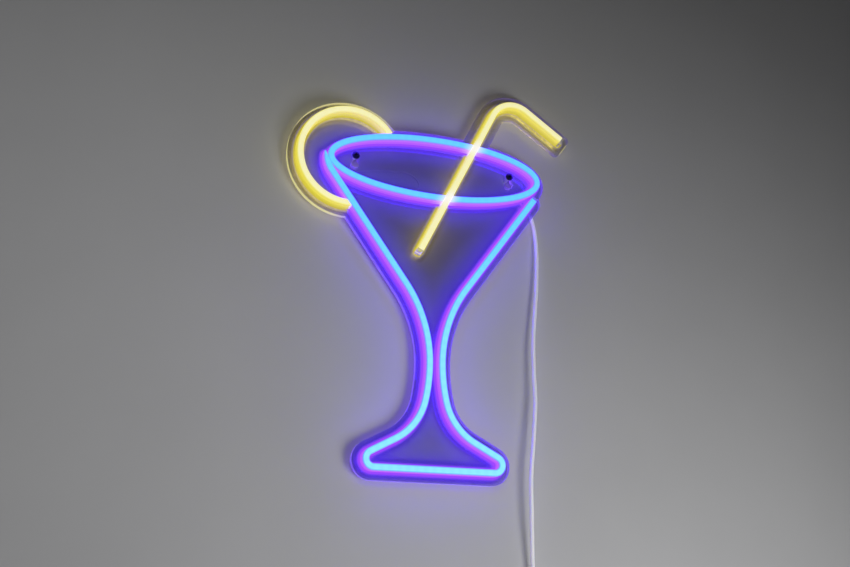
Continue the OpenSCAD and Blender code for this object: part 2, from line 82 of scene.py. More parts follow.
# Low-voltage lead: a round two-core cable in a soft white jacket, 3.8 mm thick, about 1.5 m in all.
# It leaves the splice behind the bowl's right side, hangs down the wall to the in-line switch,
# and its spare length is wound in a tied coil beside the plug.
lead_d = 0.0038
drop_route = [(0.101, -0.0031, -0.011), (0.101, -0.0031, -0.019), (0.1028, -0.0031, -0.03),
              (0.1074, -0.0032, -0.042), (0.1099, -0.0036, -0.055), (0.111, -0.0044, -0.073),
              (0.1103, -0.0054, -0.094), (0.1084, -0.0067, -0.121), (0.1037, -0.0088, -0.166),
              (0.1029, -0.0102, -0.201), (0.1031, -0.0113, -0.23), (0.0996, -0.0126, -0.269),
              (0.0965, -0.0132, -0.299), (0.0965, -0.0125, -0.334), (0.0975, -0.0096, -0.366),
              (0.0983, -0.0079, -0.382), (0.0985, -0.0075, -0.392), (0.0985, -0.0075, -0.408)]
link_route = [(0.0985, -0.0075, -0.442), (0.0985, -0.0075, -0.456), (0.0985, -0.006, -0.466),
              (0.0985, -0.0042, -0.474)]
tail_route = [(0.0909, -0.0151, -0.482), (0.0909, -0.0153, -0.492), (0.0909, -0.0142, -0.502),
              (0.0909, -0.0116, -0.511), (0.0909, -0.011, -0.518), (0.0909, -0.011, -0.524)]
coil_lo, coil_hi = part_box("cord_coil")
coil_at = (coil_lo + coil_hi) / 2
coil_r = (coil_hi.x - coil_lo.x) / 2 - 1.5 * lead_d
coil_turns = 8
coil_steps = 32


def smooth_route(points, per):
    """A Catmull-Rom curve through points, with per steps to each stretch."""
    p = np.array(points, float)
    p = np.vstack([p[:1], p, p[-1:]])
    out = []
    for a, b, c, d in zip(p, p[1:], p[2:], p[3:]):
        for t in np.arange(per) / per:
            out.append(0.5 * (2 * b + (c - a) * t + (2 * a - 5 * b + 4 * c - d) * t * t
                              + (3 * b - a - 3 * c + d) * t ** 3))
    return np.array(out + [p[-1]])


def eased(t):
    t = min(max(t, 0.0), 1.0)
    return t * t * (3 - 2 * t)


def coil_route():
    """The turns fill a three by three bundle. Each strand moves over by one place in its own
    eighth of a turn, last turn first, so that no two of them meet."""
    places = [(1, 1), (1, 0), (1, -1), (0, -1), (0, 0), (0, 1), (-1, 1), (-1, 0), (-1, -1)]
    out = []
    for step in range(coil_turns * coil_steps - coil_steps // 16):
        turn, part = divmod(step / coil_steps, 1)
        turn = int(turn)
        shift = eased((part - (coil_turns - 1 - turn) / coil_turns) * coil_turns)
        (r0, y0), (r1, y1) = places[turn], places[turn + 1]
        r = coil_r + lead_d * (r0 + shift * (r1 - r0))
        y = coil_at.y + lead_d * (y0 + shift * (y1 - y0))
        if turn == coil_turns - 1:
            y -= 0.0013 * eased((part - 0.82) / 0.12)
        a = 2 * math.pi * part
        out.append((coil_at.x + r * math.cos(a), y, coil_at.z - r * math.sin(a)))
    return out


def join_mesh(name, verts, faces):
    mesh = bpy.data.meshes.new(name)
    mesh.from_pydata([tuple(v) for v in verts], [], faces)
    mesh.update()
    piece = bpy.data.objects.new(name, mesh)
    bpy.context.scene.collection.objects.link(piece)
    return piece


def round_tube(name, route, diameter, sides=16):
    """A closed tube along a route, whose UV map holds metres along it and the share of the way round."""
    p = np.array(route, float)
    t = np.gradient(p, axis=0)
    t /= np.linalg.norm(t, axis=1)[:, None]
    u = np.cross(t[0], (0.1, 1, 0.3))
    rings = []
    along = np.concatenate([[0], np.cumsum(np.linalg.norm(np.diff(p, axis=0), axis=1))])
    angles = 2 * math.pi * np.arange(sides) / sides
    for q, d in zip(p, t):
        u = u - (u @ d) * d
        u /= np.linalg.norm(u)
        ring = np.outer(np.cos(angles), u) + np.outer(np.sin(angles), np.cross(d, u))
        rings.append(q + diameter / 2 * ring)
    n = len(p)
    faces = [(i * sides + k, i * sides + (k + 1) % sides,
              (i + 1) * sides + (k + 1) % sides, (i + 1) * sides + k)
             for i in range(n - 1) for k in range(sides)]
    faces += [tuple(range(sides))[::-1], tuple((n - 1) * sides + k for k in range(sides))]
    piece = join_mesh(name, np.vstack(rings), faces)
    uv = piece.data.uv_layers.new(name="round")
    corners = [(along[i + a], (k + b) / sides) for i in range(n - 1) for k in range(sides)
               for a, b in ((0, 0), (0, 1), (1, 1), (1, 0))] + [(0, 0)] * (2 * sides)
    uv.data.foreach_set("uv", np.array(corners, np.float32).ravel())
    piece.data.polygons.foreach_set("use_smooth", [len(f) == 4 for f in faces])
    return piece


class Reading:
    """One output of a node in a finish. Arithmetic on it adds the Math nodes it needs."""

    def __init__(self, finish, socket):
        self.finish = finish
        self.socket = socket

    def _maths(self, operation, a, b):
        return self.finish.add("ShaderNodeMath", {"operation": operation}, {0: a, 1: b})

    def __add__(self, other):
        return self._maths("ADD", self, other)

    def __radd__(self, other):
        return self._maths("ADD", other, self)

    def __sub__(self, other):
        return self._maths("SUBTRACT", self, other)

    def __rsub__(self, other):
        return self._maths("SUBTRACT", other, self)

    def __mul__(self, other):
        return self._maths("MULTIPLY", self, other)

    def __rmul__(self, other):
        return self._maths("MULTIPLY", other, self)


class Finish:
    """A material made of nodes, ending in one surface shader."""

    def __init__(self, name):
        self.material = bpy.data.materials.new(name)
        self.material.use_nodes = True
        self.material.node_tree.nodes.clear()

    def add(self, kind, settings=(), values=(), output=0):
        """Adds a node: its settings first, then its sockets' values or links. Returns one output."""
        node = self.material.node_tree.nodes.new(kind)
        for key, value in dict(settings).items():
            if key == "stops":
                ramp = node.color_ramp.elements
                while len(ramp) > 1:
                    ramp.remove(ramp[0])
                for i, (at, colour) in enumerate(value):
                    stop = ramp[0] if i == 0 else ramp.new(at)
                    stop.position = at
                    stop.color = (*colour, 1)
            else:
                setattr(node, key, value)
        for key, value in dict(values).items():
            socket = node.inputs[key]
            if isinstance(value, Reading):
                self.material.node_tree.links.new(value.socket, socket)
            elif socket.type == "RGBA":
                socket.default_value = (*value, 1)
            else:
                socket.default_value = value
        return Reading(self, node.outputs[output]) if node.outputs else None

    def place(self, scale=(1, 1, 1)):
        """Object coordinates in metres, times scale."""
        return self.add("ShaderNodeMapping", {"vector_type": "TEXTURE"}, {
            "Vector": self.add("ShaderNodeTexCoord", output="Object"),
            "Scale": [1 / s for s in scale]})

    def grain(self, scale, detail=3, **more):
        """Noise at so many cycles to a metre."""
        return self.add("ShaderNodeTexNoise", {}, {"Vector": more.get("at") or self.place(),
                        "Scale": scale, "Detail": detail})

    def attribute(self, name, output="Fac"):
        return self.add("ShaderNodeAttribute", {"attribute_name": name}, output=output)

    def between(self, factor, first, second):
        """A colour between two others."""
        return self.add("ShaderNodeMix", {"data_type": "RGBA"}, {0: factor, 6: first, 7: second},
                        output=2)

    def ramp(self, factor, *stops):
        return self.add("ShaderNodeValToRGB", {"stops": stops}, {"Fac": factor})

    def eased(self, value, start, end):
        """0 at start, 1 at end, and smooth between them."""
        return self.add("ShaderNodeMapRange", {"interpolation_type": "SMOOTHSTEP"}, {
            "Value": value, "From Min": start, "From Max": end, "To Min": 0.0, "To Max": 1.0})

    def bumped(self, height, distance, strength=1.0):
        return self.add("ShaderNodeBump", {}, {"Height": height, "Distance": distance,
                        "Strength": strength})

    def surface(self, **values):
        """The finish's main shader, from socket names with spaces written as underscores."""
        return self.add("ShaderNodeBsdfPrincipled", {},
                        {k.replace("_", " "): v for k, v in values.items()})

    def done(self, shader):
        self.add("ShaderNodeOutputMaterial", {}, {"Surface": shader})
        return self.material


def lead_jacket():
    """Soft white and slightly milky, with a faint painted glow that lights it a little more than the wall.
    """
    f = Finish("lead_jacket")
    soft = f.grain(240)
    fine = f.grain(5200, 2)
    white = f.ramp(soft, (0.3, (0.88, 0.88, 0.9)), (0.7, (0.94, 0.94, 0.95)))
    # Painted light: the emission colour and strength are a painted glow, since the lead is no lamp.
    return f.done(f.surface(Base_Color=white, Roughness=0.38 + 0.14 * soft, Normal=f.bumped(fine, 0.00002),
                            Subsurface_Weight=0.15, Subsurface_Scale=0.002, Coat_Weight=0.15,
                            Emission_Color=(0.86, 0.82, 1.0), Emission_Strength=0.14))


jacket = lead_jacket()
lead_upper = round_tube("lead_upper", smooth_route(drop_route, 8), lead_d, 20)
coil_path = coil_route()
spare = [*smooth_route([*link_route, coil_path[0]], 6)[:-1], *coil_path,
         *smooth_route([coil_path[-2], coil_path[-1], *tail_route], 6)[7:]]
lead_lower = round_tube("lead_lower", spare, lead_d, 16)
for piece, nodes in ((lead_upper, ["cord_drop"]), (lead_lower, ["cord_link", "cord_coil", "cord_tail"])):
    piece.data.materials.append(jacket)
    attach(piece, "sign")
    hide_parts(*nodes)


# Room: a matt grey wall that the sign hangs on, a plain pale floor well below, and soft studio light
# from the front, low on the right, with a little from the left. It throws the lead's shadow to its left.
wall_half = 3.2
wall_top = 2.4
floor_z = -1.35
floor_deep = 3.0


def plain_sheet(name, corners, material):
    sheet = join_mesh(name, corners, [(0, 1, 2, 3)])
    sheet.data.materials.append(material)
    return sheet


def wall_paint():
    """Matt paint on its room side; from behind it is clear, so that the sign's back can be seen."""
    f = Finish("wall_paint")
    grey = f.ramp(f.grain(9, 4), (0.3, (0.56, 0.56, 0.565)), (0.7, (0.58, 0.58, 0.585)))
    paint = f.surface(Base_Color=grey, Roughness=0.75, Specular_IOR_Level=0.25)
    behind = f.add("ShaderNodeNewGeometry", output="Backfacing")
    return f.done(f.add("ShaderNodeMixShader", {}, {0: behind, 1: paint,
                        2: f.add("ShaderNodeBsdfTransparent")}))


def floor_paint():
    f = Finish("floor_paint")
    pale = f.ramp(f.grain(6), (0.3, (0.62, 0.62, 0.61)), (0.7, (0.66, 0.66, 0.65)))
    return f.done(f.surface(Base_Color=pale, Roughness=0.7))


wall = plain_sheet("wall", [(-wall_half, 0, floor_z), (wall_half, 0, floor_z),
                            (wall_half, 0, wall_top), (-wall_half, 0, wall_top)], wall_paint())
wall.visible_shadow = False
plain_sheet("floor", [(-wall_half, -floor_deep, floor_z), (wall_half, -floor_deep, floor_z),
                      (wall_half, floor_deep, floor_z), (-wall_half, floor_deep, floor_z)], floor_paint())


def soft_light(name, at, towards, size, power, spread=180):
    lamp = bpy.data.objects.new(name, bpy.data.lights.new(name, "AREA"))
    lamp.data.shape = "DISK"
    lamp.data.size = size
    lamp.data.energy = power
    lamp.data.spread = math.radians(spread)
    lamp.visible_glossy = False
    lamp.location = at
    lamp.rotation_euler = (Vector(towards) - Vector(at)).to_track_quat("-Z", "Y").to_euler()
    bpy.context.scene.collection.objects.link(lamp)


soft_light("light_low_right", (0.307, -0.626, -0.592), (-0.051, 0.084, -0.503), 0.42, 2.95)
soft_light("light_left", (-0.251, -0.765, -0.031), (-0.606, -0.274, -0.553), 0.4, 1.5)
soft_light("light_behind", (0.7, 1.5, 0.3), (0, 0, -0.25), 1.2, 2, 50)
room = bpy.data.worlds.new("room")
room.use_nodes = True
room.node_tree.nodes["Background"].inputs["Color"].default_value = (0.9, 0.92, 1, 1)
room.node_tree.nodes["Background"].inputs["Strength"].default_value = 0.002
bpy.context.scene.world = room
bpy.context.scene.view_settings.view_transform = "Standard"


# Flex strips: silicone sleeves 6.5 mm wide and 12 mm tall with milky domed fronts, lit from inside.
# Ice blue draws the rim and the glass, warm yellow the lemon and the straw. Each is bent on edge
# and glued in its groove in the panel; where strips meet, they are trimmed to leave a hairline gap.
flex_w = 0.0065
front_h = 0.0025
sleeve_lo, sleeve_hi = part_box("glass_sleeve")
seat_y = sleeve_hi.y
shoulder_y = sleeve_lo.y
front_y = shoulder_y - front_h
trim_gap = 0.0003
trim_blend = 0.02
station_step = 0.0017
crossing_reach = 0.011
rim_a = 0.1065
rim_b = 0.03
rim_z = -0.0062
side_angle = math.radians(35.7)
bowl_r = 0.128
bowl_top_z = -0.022
glass_end_z = -0.0255
hook_r = 0.026
stem_half = 0.0062
stem_z = -0.201
foot_half = 0.065
foot_upper_r = 0.16
foot_upper_turn = math.radians(13)
foot_lower_r = 0.055
foot_turn = math.radians(62)
base_z = -0.2995
lemon_at = np.array((-0.088, -0.0048))
lemon_r = 0.0483
straw_foot = np.array((-0.016, -0.0915))
straw_lean = math.radians(26.4)
straw_leg = 0.172
bend_r = 0.0245
arm_drop = math.radians(34.5)
arm_l = 0.0465
fine_turn = math.radians(1.5)


def towards(angle):
    return np.array((math.cos(angle), math.sin(angle)))


def arc(centre, radius, start, end):
    """Points of an arc in the plane of the sign, with its angles in radians."""
    return [centre + radius * towards(a)
            for a in np.linspace(start, end, max(3, math.ceil(abs(end - start) / fine_turn)))]


def mirrored(points):
    return [p * (-1, 1) for p in points]


foot_upper_at = np.array((stem_half + foot_upper_r, stem_z))
foot_lower_at = foot_upper_at + (foot_upper_r - foot_lower_r) * towards(math.pi + foot_upper_turn)
slope_top = foot_lower_at + foot_lower_r * towards(math.pi + foot_turn)
corner_r = ((slope_top[0] - foot_half) * math.cos(foot_turn)
            + (slope_top[1] - base_z) * math.sin(foot_turn)) \
    / (1 - math.cos(foot_turn) + math.sin(foot_turn))
corner_at = np.array((foot_half - corner_r, base_z + corner_r))
bowl_at = np.array((stem_half + bowl_r, stem_z))
side_dir = np.array((math.sin(side_angle), math.cos(side_angle)))
side_start = bowl_at + bowl_r * towards(math.pi - side_angle)


def on_side(z):
    return side_start + side_dir * (z - side_start[1]) / side_dir[1]


half_glass = [*arc(corner_at, corner_r, -math.pi / 2, foot_turn),
              *arc(foot_lower_at, foot_lower_r, math.pi + foot_turn, math.pi + foot_upper_turn),
              *arc(foot_upper_at, foot_upper_r, math.pi + foot_upper_turn, math.pi),
              *arc(bowl_at, bowl_r, math.pi, math.pi - side_angle)]
hook_at = on_side(bowl_top_z) - hook_r * towards(-side_angle)
hook = [*arc(hook_at, hook_r, -side_angle, 0), hook_at + (hook_r, 0.003)]
glass_line = [*mirrored(hook[::-1]), *mirrored(half_glass[::-1]), *half_glass, on_side(glass_end_z)]
straw_dir = np.array((math.sin(straw_lean), math.cos(straw_lean)))
arm_dir = towards(-arm_drop)
bend_at = straw_foot + straw_leg * straw_dir + bend_r * towards(-straw_lean)
straw_bend = arc(bend_at, bend_r, math.pi - straw_lean, math.pi / 2 - arm_drop)
straw_line = [straw_foot, *straw_bend, straw_bend[-1] + arm_l * arm_dir]
lemon_line = arc(lemon_at, lemon_r, math.radians(36), math.radians(276))


def rim_arc(start, end):
    return [np.array((rim_a * math.cos(a), rim_z + rim_b * math.sin(a)))
            for a in np.radians(np.linspace(start, end, math.ceil((end - start) / 1.2)))]


rim_round = np.array(rim_arc(0, 360))


class Track:
    """A strip's centreline, measured along its length."""

    def __init__(self, points):
        p = np.array(points, float)
        keep = np.concatenate([[True], np.linalg.norm(np.diff(p, axis=0), axis=1) > 1e-6])
        self.p = p[keep]
        step = np.diff(self.p, axis=0)
        self.s = np.concatenate([[0], np.cumsum(np.linalg.norm(step, axis=1))])
        heading = step / np.linalg.norm(step, axis=1)[:, None]
        t = np.vstack([heading[:1], heading[:-1] + heading[1:], heading[-1:]])
        self.t = t / np.linalg.norm(t, axis=1)[:, None]

    def at(self, s, offset):
        """Points at distance s along, moved sideways to the left by offset."""
        p = np.stack([np.interp(s, self.s, self.p[:, i]) for i in (0, 1)], -1)
        t = np.stack([np.interp(s, self.s, self.t[:, i]) for i in (0, 1)], -1)
        t /= np.linalg.norm(t, axis=-1)[..., None]
        return p + offset * np.stack([-t[..., 1], t[..., 0]], -1)


tracks = {"rim_left": Track(rim_arc(68, 276.3)), "rim_right": Track(rim_arc(-83.7, 68)),
          "glass": Track(glass_line), "lemon": Track(lemon_line), "straw": Track(straw_line)}


def gap_to(points, line):
    """Distance from each point to a dense line of points."""
    parts = [np.min(np.linalg.norm(part[:, None] - line[None], axis=2), axis=1)
             for part in np.array_split(points, len(points) // 2000 + 1)]
    return np.concatenate(parts)


def dense(track):
    spacing = 0.0004
    return track.at(np.arange(0, track.s[-1], spacing), 0.0)


straw_dense = dense(tracks["straw"])
glass_dense = dense(tracks["glass"])


def clear_of_straw(p):
    return gap_to(p, straw_dense) > flex_w / 2 + trim_gap


def clear_of_rim(p):
    outside = (p[:, 0] / rim_a) ** 2 + ((p[:, 1] - rim_z) / rim_b) ** 2 > 1
    return outside & (gap_to(p, rim_round) > flex_w / 2 + trim_gap)


def clear_of_glass(p):
    return clear_of_rim(p) & (gap_to(p, glass_dense) > flex_w / 2 + trim_gap)


trims = {"rim_left": (clear_of_straw, clear_of_straw), "rim_right": (clear_of_straw, clear_of_straw),
         "glass": (clear_of_rim, None), "lemon": (clear_of_rim, clear_of_glass), "straw": (None, None)}


def first_clear(track, offset, clear, from_start):
    """How far along a line beside the track the strip begins, or ends, once it is trimmed."""
    total = track.s[-1]
    if clear is None:
        return 0.0 if from_start else total
    s = np.arange(0, 0.04, 0.0001)
    s = s if from_start else total - s
    return s[np.argmax(clear(track.at(s, offset)))]


def turn_outwards(piece):
    """Turns a closed mesh's faces round if they all point inwards."""
    check = bmesh.new()
    check.from_mesh(piece.data)
    if check.calc_volume(signed=True) < 0:
        bmesh.ops.reverse_faces(check, faces=check.faces)
        check.to_mesh(piece.data)
    check.free()


def swept_strip(name, strip, profile, inner=None):
    """A closed strip along its track. profile is a loop of (across, depth); inner, a loop with as
    many points, is the channel inside it. Each line along it has its own trimmed ends."""
    track = tracks[strip]
    clear_start, clear_end = trims[strip]
    loops = [np.array(profile)] + ([np.array(inner)] if inner is not None else [])
    middle = [first_clear(track, 0.0, c, b) for c, b in ((clear_start, True), (clear_end, False))]
    stations = math.ceil((middle[1] - middle[0]) / station_step)
    base = np.linspace(middle[0], middle[1], stations + 1)
    near_start = np.clip(1 - (base - base[0]) / trim_blend, 0, 1) ** 2
    near_end = np.clip(1 - (base[-1] - base) / trim_blend, 0, 1) ** 2
    n, m = stations + 1, len(profile)
    verts, along, across, rise, faces = [], [], [], [], []
    for loop in loops:
        for offset, depth in loop:
            shift0 = first_clear(track, offset, clear_start, True) - middle[0]
            shift1 = first_clear(track, offset, clear_end, False) - middle[1]
            s = base + shift0 * near_start + shift1 * near_end
            q = track.at(s, offset)
            verts.append(np.stack([q[:, 0], np.full(n, depth), q[:, 1]], -1))
            along.append(s)
            across.append(np.full(n, abs(offset) / (flex_w / 2)))
            rise.append(np.full(n, (seat_y - depth) / (seat_y - shoulder_y)))
    for k in range(len(loops)):
        for j in range(m):
            a, b = (k * m + j) * n, (k * m + (j + 1) % m) * n
            faces += [(a + i, a + i + 1, b + i + 1, b + i)[::(-1 if k else 1)] for i in range(n - 1)]
    if inner is None:
        faces += [tuple(j * n for j in range(m)), tuple(j * n + n - 1 for j in range(m))[::-1]]
    else:
        for end, turn in ((0, 1), (n - 1, -1)):
            faces += [(j * n + end, (j + 1) % m * n + end, (m + (j + 1) % m) * n + end,
                       (m + j) * n + end)[::turn] for j in range(m)]
    piece = join_mesh(name, np.vstack(verts), faces)
    # crossing: nearness to another strip, which masks the painted light of that strip on this one.
    flat = np.vstack(verts)[:, [0, 2]]
    other = rim_round if strip == "straw" else straw_dense
    crossing = 1 - np.clip((gap_to(flat, other) - flex_w / 2) / crossing_reach, 0, 1)
    for key, values in (("along", np.concatenate(along)), ("across", np.concatenate(across)),
                        ("rise", np.concatenate(rise)), ("crossing", crossing)):
        layer = piece.data.attributes.new(key, "FLOAT", "POINT")
        layer.data.foreach_set("value", values.astype(np.float32))
    turn_outwards(piece)
    piece.data.polygons.foreach_set("use_smooth", [True] * len(piece.data.polygons))
    return piece


def rounded_loop(half, back, front, back_r, front_r, crown=0.0, steps=5):
    """A closed loop of (across, depth) with its own corner radii, and a front that may be crowned."""
    corners = [(half - back_r, back - back_r, back_r, 0, 90),
               (-half + back_r, back - back_r, back_r, 90, 180),
               (-half + front_r, front + front_r, front_r, 180, 270),
               (half - front_r, front + front_r, front_r, 270, 360)]
    loop = []
    for x, y, r, a0, a1 in corners:
        loop += [(x + r * math.cos(a), y + r * math.sin(a)) for a in np.radians(np.linspace(a0, a1, steps))]
    return [(x, y + crown * (x / half) ** 2 if y < (back + front) / 2 else y) for x, y in loop]


def led_glow(f, low_core, high_core, tint_edge, tint_side, painted_spill_white, warm):
    """The milky front: bright in the middle, deeper in colour at its shoulders, with the faintest
    beat of the LEDs behind it. Where another strip crosses, that strip's light is painted on as a paler
    colour."""
    led_pitch = 0.0083
    turns = f.attribute("along") * (2 * math.pi / led_pitch)
    beat = f.add("ShaderNodeMath", {"operation": "SINE"}, {0: turns})
    height = f.add("ShaderNodeSeparateXYZ", {}, {"Vector": f.place()}, "Z")
    core = f.between(f.eased(height, -0.24, -0.03), low_core, high_core)
    across = f.attribute("across")
    glow = f.between(f.eased(across, 0.95, 0.5) * (0.94 + 0.06 * beat), tint_edge, core)
    glow = f.between(f.eased(across, 0.86, 0.97), glow, tint_side)
    # Painted light: near a crossing, the other strip's light is painted on by mixing in a pale colour.
    meet = f.attribute("crossing")
    return f.between(meet * meet * warm, glow, painted_spill_white)


def silicone_front(name, base, strength, *tints):
    f = Finish(name)
    return f.done(f.surface(Base_Color=base, Roughness=0.42 + 0.1 * f.grain(900),
                            Emission_Color=led_glow(f, *tints),
                            Emission_Strength=strength, Normal=f.bumped(f.grain(2600, 2), 0.00003)))


def silicone_side(name, stops, base, strength, painted_spill_tint, warm):
    """The glossy side: it glows from inside. The face against the panel is the brightest, and
    lights the wall; the rest of the side is deeper in colour."""
    f = Finish(name)
    lengthwise = f.grain(1, 2, at=f.add("ShaderNodeCombineXYZ", {}, {
        "X": f.attribute("along") * 60, "Y": f.attribute("rise") * 7}))
    glow = f.ramp(f.attribute("rise") * 0.97 + 0.03 * lengthwise, *stops)
    # Painted light: near a crossing, another strip's light is painted on by mixing in a pale colour.
    meet = f.attribute("crossing")
    return f.done(f.surface(Base_Color=base, Roughness=0.16 + 0.1 * lengthwise,
                            Emission_Color=f.between(meet * meet * warm, glow, painted_spill_tint),
                            Emission_Strength=strength, Coat_Weight=0.4, Coat_Roughness=0.08,
                            Normal=f.bumped(lengthwise, 0.0002, 0.4)))


# The last colour and number in each front are the painted light of another strip where strips cross.
front_finish = {
    "blue": silicone_front("blue_front", (0.1, 0.25, 0.3), 3.0, (0.085, 0.26, 1.0), (0.04, 0.205, 1.0),
                           (0.03, 0.12, 1.0), (0.12, 0.04, 1.0), (0.27, 0.27, 0.33), 0.9),
    "yellow": silicone_front("yellow_front", (0.25, 0.25, 0.15), 1.5, (0.57, 0.55, 0.33),
                             (0.57, 0.55, 0.33), (0.55, 0.5, 0.09), (0.5, 0.44, 0.05),
                             (0.6, 0.58, 0.56), 0.9)}
blue_rise = [(0.0, (0.17, 0.05, 1.0)), (0.05, (0.17, 0.05, 1.0)), (0.1, (0.01, 0.002, 0.3)),
             (0.22, (0.04, 0.008, 1.0)), (0.6, (0.05, 0.011, 1.0)), (0.9, (0.06, 0.017, 1.0)),
             (0.98, (0.032, 0.01, 0.9))]
yellow_rise = [(0.0, (0.9, 0.8, 0.3)), (0.05, (0.9, 0.8, 0.3)), (0.1, (0.06, 0.05, 0.003)),
               (0.22, (0.11, 0.095, 0.006)), (0.6, (0.15, 0.13, 0.01)), (0.9, (0.18, 0.16, 0.014)),
               (0.98, (0.13, 0.11, 0.01))]
# The last colour and number in each side are the painted light of another strip where strips cross.
side_finish = {
    "blue": silicone_side("blue_side", blue_rise, (0.2, 0.12, 0.4), 8.5, (0.09, 0.07, 0.23), 0.5),
    "yellow": silicone_side("yellow_side", yellow_rise, (0.3, 0.27, 0.08), 4.5, (0.2, 0.16, 0.09), 0.5)}
sleeve_loop = rounded_loop(flex_w / 2, seat_y, shoulder_y, 0.0006, 0.00025)
channel_loop = rounded_loop(0.0022, seat_y - 0.001, seat_y - 0.0034, 0.0002, 0.0002)
front_loop = rounded_loop(flex_w / 2, shoulder_y, front_y, 0.00025, 0.0013, crown=0.0005, steps=7)
for strip in tracks:
    tint = "yellow" if strip in ("lemon", "straw") else "blue"
    for kind, loops, finishes, slot in (("sleeve", (sleeve_loop, channel_loop), side_finish, "_silicone"),
                                        ("diffuser", (front_loop,), front_finish, "_front")):
        piece = swept_strip(f"{strip}_{kind}_moulded", strip, *loops)
        piece.data.materials.append(finishes[tint])
        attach(piece, "sign")
        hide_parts(f"{strip}_{kind}")
        tint + slot


# Panel: clear cast acrylic 5 mm thick, cut to the drawing's outline, grooved for the strips and
# polished. Its cut edges gather the strips' light. It hangs by two keyholes and carries everything.
def moulded(node, bevel, steps=2, angle=35):
    """A CAD node as one welded mesh, with its sharp edges eased by a small round."""
    flat = math.radians(0.4)
    source = frame["nodes"][node].data.copy()
    clean = bmesh.new()
    clean.from_mesh(source)
    bmesh.ops.remove_doubles(clean, verts=clean.verts, dist=1e-6)
    bmesh.ops.dissolve_limit(clean, angle_limit=flat, verts=clean.verts, edges=clean.edges)
    clean.to_mesh(source)
    clean.free()
    source.materials.clear()
    source.name = f"{node}_moulded"
    piece = bpy.data.objects.new(source.name, source)
    bpy.context.scene.collection.objects.link(piece)
    ease = piece.modifiers.new("eased_edges", "BEVEL")
    ease.width = bevel
    ease.segments = steps
    ease.limit_method = "ANGLE"
    ease.angle_limit = math.radians(angle)
    ease.use_clamp_overlap = True
    ease.harden_normals = False
    bpy.context.view_layer.update()
    depsgraph = bpy.context.evaluated_depsgraph_get()
    rounded = bpy.data.meshes.new_from_object(piece.evaluated_get(depsgraph))
    piece.modifiers.clear()
    piece.data = rounded
    rounded.name = piece.name
    piece.data.polygons.foreach_set("use_smooth", [True] * len(piece.data.polygons))
    piece.data.set_sharp_from_angle(angle=math.radians(angle))
    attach(piece, frame["nodes"][node]["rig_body"])
    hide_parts(node)
    return piece


def finely_cut(piece, spacing):
    """Divides a piece's faces along a grid, so that what its corners hold follows the strips."""
    cut = bmesh.new()
    cut.from_mesh(piece.data)
    for axis in (0, 2):
        low = min(v.co[axis] for v in cut.verts)
        high = max(v.co[axis] for v in cut.verts)
        for at in np.arange(low + spacing, high, spacing):
            bmesh.ops.bisect_plane(cut, geom=[*cut.verts, *cut.edges, *cut.faces], dist=1e-7,
                                   plane_co=[at if k == axis else 0 for k in range(3)],
                                   plane_no=[float(k == axis) for k in range(3)])
    cut.to_mesh(piece.data)
    cut.free()


panel = moulded("acrylic_panel", 0.0003, angle=50)
finely_cut(panel, 0.0035)
blue_dense = np.vstack([rim_round, glass_dense])
yellow_dense = np.vstack([dense(tracks["lemon"]), straw_dense])
panel_points = np.zeros(len(panel.data.vertices) * 3, np.float32)
panel.data.vertices.foreach_get("co", panel_points)
panel_flat = panel_points.reshape(-1, 3)[:, [0, 2]]
for key, line in (("gap_blue", blue_dense), ("gap_yellow", yellow_dense)):
    gap = np.clip(gap_to(panel_flat, line) - flex_w / 2, 0, 0.04).astype(np.float32)
    panel.data.attributes.new(key, "FLOAT", "POINT").data.foreach_set("value", gap)


def tinted(f, colour):
    return f.add("ShaderNodeBsdfTransparent", {}, {"Color": colour})


def acrylic_sheet(name, glow):
    """Clear sheet: seen through, with a sharp gloss. Beside a strip, painted glow in the strip's colour
    fills it and drowns what is behind it, more so on its front than on its back. A coloured tint there
    paints the strips' shade on the wall."""
    f = Finish(name)
    smear = f.grain(40, 4)
    gloss = f.add("ShaderNodeBsdfGlossy", {}, {"Color": (1, 1, 1), "Roughness": 0.02 + 0.03 * smear})
    blue = f.attribute("gap_blue")
    yellow = f.attribute("gap_yellow")
    # Painted shade: beside the strips, a coloured see-through tint darkens and colours the wall behind, as
    # the strips' shade filled with their own light.
    clear = f.add("ShaderNodeMixShader", {}, {0: f.eased(blue, 0.0095, 0.002) * (0.85 * glow),
                  1: tinted(f, (0.91, 0.9, 0.965)), 2: tinted(f, (0.55, 0.25, 1.0))})
    painted_yellow_shade = f.eased(yellow, 0.0085, 0.002) * f.eased(blue, 0.001, 0.006)
    clear = f.add("ShaderNodeMixShader", {}, {0: painted_yellow_shade * (0.85 * glow),
                  1: clear, 2: tinted(f, (0.85, 0.8, 0.35))})
    mirror = f.add("ShaderNodeFresnel", {}, {"IOR": 1.49})
    sheet = f.add("ShaderNodeMixShader", {}, {0: 0.1 + 1.2 * mirror, 1: clear, 2: gloss})
    lit_blue = f.eased(blue, 0.0042, 0.001)
    lit_yellow = f.eased(yellow, 0.0042, 0.001)
    far = f.between(lit_blue, (0.1, 0.1, 1.0), (0.36, 0.07, 1.0))
    # Painted glow: emission in the strips' colours beside them, and a wider faint one round the blue.
    painted_glow = f.add("ShaderNodeEmission", {}, {"Strength": 1.0,
                 "Color": f.between(lit_yellow * (1 - lit_blue), far, (0.62, 0.52, 0.03))})
    amount = (0.72 * lit_blue + 0.6 * lit_yellow * (1 - lit_blue)
              + f.eased(blue, 0.034, 0.003) * 0.16 + 0.01 * smear)
    return f.done(f.add("ShaderNodeMixShader", {}, {0: amount * glow, 1: sheet, 2: painted_glow}))


